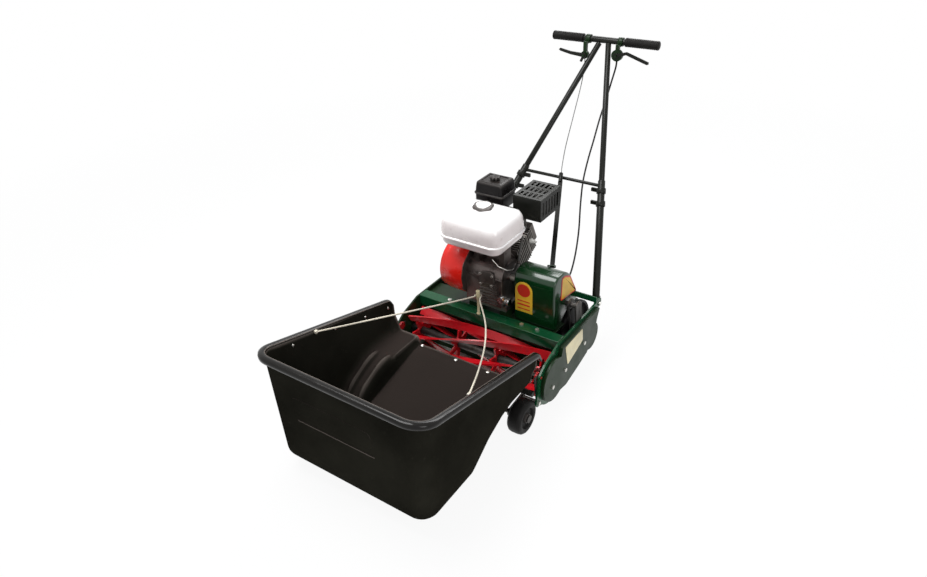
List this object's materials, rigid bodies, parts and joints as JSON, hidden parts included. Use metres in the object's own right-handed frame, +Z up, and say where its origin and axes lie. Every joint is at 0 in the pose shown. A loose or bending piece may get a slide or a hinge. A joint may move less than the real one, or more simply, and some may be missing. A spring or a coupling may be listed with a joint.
{
  "type": "self-propelled reel mower",
  "caption": "Petrol reel mower: red twisted-blade cylinder between green side plates, ribbed drive roller, top engine, T-handle and hung black grass catcher.",
  "frame": {"origin": "on the ground, midway along the machine's length and width", "axes": "+Z up, -Y towards the grass catcher at the front, +Y towards the operator, +X towards the belt and chain covers"},
  "size_m": [0.5632, 1.48, 0.885],
  "materials": {
    "green_paint": "gloss",
    "dark_steel": "dull",
    "bright_steel": "bright",
    "label_yellow": "satin",
    "cream_plastic": "satin",
    "reel_red": "gloss",
    "black_rubber": "matte",
    "red_plastic": "gloss",
    "engine_alloy": "as cast",
    "black_plastic": "satin",
    "recoil_red": "gloss",
    "tank_white": "gloss",
    "chrome_cap": "polished",
    "black_paint": "satin",
    "white_ceramic": "gloss",
    "control_green": "satin",
    "cable_black": "satin",
    "catcher_black": "satin",
    "rope_white": "braided"
  },
  "bodies": {
    "chassis": {"side_plate_left": "green_paint", "side_plate_right": "green_paint", "front_cross_member": "green_paint", "rear_cross_member": "green_paint", "engine_deck": "green_paint", "front_tie_bar": "dark_steel", "sole_plate": "green_paint", "bottom_blade": "bright_steel", "bearing_housings": "dark_steel", "chassis_bolts": "bright_steel", "chain_cover": "green_paint", "belt_cover": "green_paint", "cover_plates": "label_yellow", "rope_cleat": "cream_plastic", "drive_belt": "black_rubber", "reel_chain": "dark_steel", "roller_chain": "dark_steel", "engine_block": "engine_alloy", "cylinder_barrel": "engine_alloy", "cylinder_head": "engine_alloy", "blower_housing": "recoil_red", "recoil_cover": "recoil_red", "fuel_tank": "tank_white", "air_cleaner": "black_plastic", "carburettor": "engine_alloy", "muffler": "bright_steel", "muffler_guard": "black_paint", "spark_plug": "white_ceramic", "oil_caps": "chrome_cap", "lower_legs": "black_paint", "upper_legs": "black_paint", "t_bar": "black_paint", "hand_grips": "black_rubber", "brace_bar": "black_paint", "leg_joints": "black_paint", "throttle_control": "control_green", "control_cables": "cable_black"},
    "reel": {"reel_shaft": "dark_steel", "reel_spiders": "reel_red", "reel_blades": "reel_red"},
    "roller": {"roller_shaft": "dark_steel", "roller_left_half": "black_rubber", "roller_right_half": "black_rubber"},
    "countershaft": {"countershaft": "dark_steel"},
    "crankshaft": {"crankshaft": "bright_steel"},
    "front_axle": {"front_axle": "dark_steel"},
    "front_wheel_left": {"front_wheel_left": "black_rubber"},
    "front_wheel_right": {"front_wheel_right": "black_rubber"},
    "adjuster_knob_left": {"adjuster_knob_left": "red_plastic"},
    "adjuster_knob_right": {"adjuster_knob_right": "red_plastic"},
    "fuel_cap": {"fuel_cap": "chrome_cap"},
    "air_cleaner_knob": {"air_cleaner_knob": "black_plastic"},
    "recoil_grip": {"recoil_grip": "black_plastic"},
    "throttle_arm": {"throttle_arm": "dark_steel"},
    "choke_lever": {"choke_lever": "black_plastic"},
    "clutch_lever": {"clutch_lever": "black_paint"},
    "clutch_rod": {"clutch_rod": "dark_steel"},
    "throttle_lever": {"throttle_lever": "black_paint"},
    "catcher": {"grass_catcher": "catcher_black", "catcher_rope": "rope_white"}
  },
  "joints": [
    {"name": "roller_spin", "type": "hinge", "parent": "chassis", "child": "roller", "pos_m": [0, 0.135, 0.104], "axis": [1, 0, 0], "continuous": true},
    {"name": "reel_spin", "type": "hinge", "parent": "chassis", "child": "reel", "pos_m": [0, -0.108, 0.097], "axis": [1, 0, 0], "continuous": true},
    {"name": "countershaft_spin", "type": "hinge", "parent": "chassis", "child": "countershaft", "pos_m": [0.15, 0.072, 0.246], "axis": [1, 0, 0], "continuous": true},
    {"name": "crankshaft_spin", "type": "hinge", "parent": "chassis", "child": "crankshaft", "pos_m": [0, 0.025, 0.313], "axis": [1, 0, 0], "continuous": true},
    {"name": "cutting_height", "type": "hinge", "parent": "chassis", "child": "front_axle", "pos_m": [0, -0.188, 0.058], "axis": [1, 0, 0], "range_deg": [0, 4.5]},
    {"name": "left_wheel_spin", "type": "hinge", "parent": "front_axle", "child": "front_wheel_left", "pos_m": [-0.246, -0.256, 0.052], "axis": [1, 0, 0], "continuous": true},
    {"name": "right_wheel_spin", "type": "hinge", "parent": "front_axle", "child": "front_wheel_right", "pos_m": [0.246, -0.256, 0.052], "axis": [1, 0, 0], "continuous": true},
    {"name": "left_knob_turn", "type": "hinge", "parent": "chassis", "child": "adjuster_knob_left", "pos_m": [-0.25, -0.174, 0.144], "axis": [1, 0, 0], "range_deg": [0, 90]},
    {"name": "right_knob_turn", "type": "hinge", "parent": "chassis", "child": "adjuster_knob_right", "pos_m": [0.25, -0.174, 0.144], "axis": [1, 0, 0], "range_deg": [0, 90]},
    {"name": "fuel_cap_turn", "type": "hinge", "parent": "chassis", "child": "fuel_cap", "pos_m": [-0.058, 0.036, 0.526], "axis": [0, 0, 1], "range_deg": [0, 90]},
    {"name": "air_cleaner_knob_turn", "type": "hinge", "parent": "chassis", "child": "air_cleaner_knob", "pos_m": [-0.09, 0.157, 0.567], "axis": [0, 0, 1], "range_deg": [0, 180]},
    {"name": "starter_pull", "type": "slide", "parent": "chassis", "child": "recoil_grip", "axis": [0, 1, 0], "range_m": [0, 0.06], "stiffness_N_per_m": 80, "springref_m": -0.03},
    {"name": "throttle_lever_swing", "type": "hinge", "parent": "chassis", "child": "throttle_lever", "pos_m": [0.06, 0.698, 0.832], "axis": [0, -1, 0], "range_deg": [0, 30]},
    {"name": "throttle_arm_swing", "type": "hinge", "parent": "chassis", "child": "throttle_arm", "pos_m": [0.0505, 0.06, 0.35], "axis": [1, 0, 0], "range_deg": [0, 12]},
    {"name": "choke_lever_swing", "type": "hinge", "parent": "chassis", "child": "choke_lever", "pos_m": [-0.068, 0.137, 0.452], "axis": [1, 0, 0], "range_deg": [0, 40]},
    {"name": "clutch_lever_swing", "type": "hinge", "parent": "chassis", "child": "clutch_lever", "pos_m": [-0.058, 0.698, 0.822], "axis": [0, 1, 0], "range_deg": [0, 20], "stiffness_Nm_per_rad": 1, "springref_deg": -8.59},
    {"name": "clutch_rod_slide", "type": "slide", "parent": "chassis", "child": "clutch_rod", "axis": [-0.3304, 0.77, 0.5459], "range_m": [0, 0.007]},
    {"name": "catcher_lift", "type": "slide", "parent": "chassis", "child": "catcher", "axis": [0, 0, 1], "range_m": [0, 0.15]}
  ],
  "couplings": [
    {"joint": "reel_spin", "follows": "roller_spin", "ratio": 1.8824},
    {"joint": "countershaft_spin", "follows": "roller_spin", "ratio": 2.8571},
    {"joint": "throttle_arm_swing", "follows": "throttle_lever_swing", "ratio": 0.4},
    {"joint": "clutch_rod_slide", "follows": "clutch_lever_swing", "m_per_rad": 0.02}
  ]
}
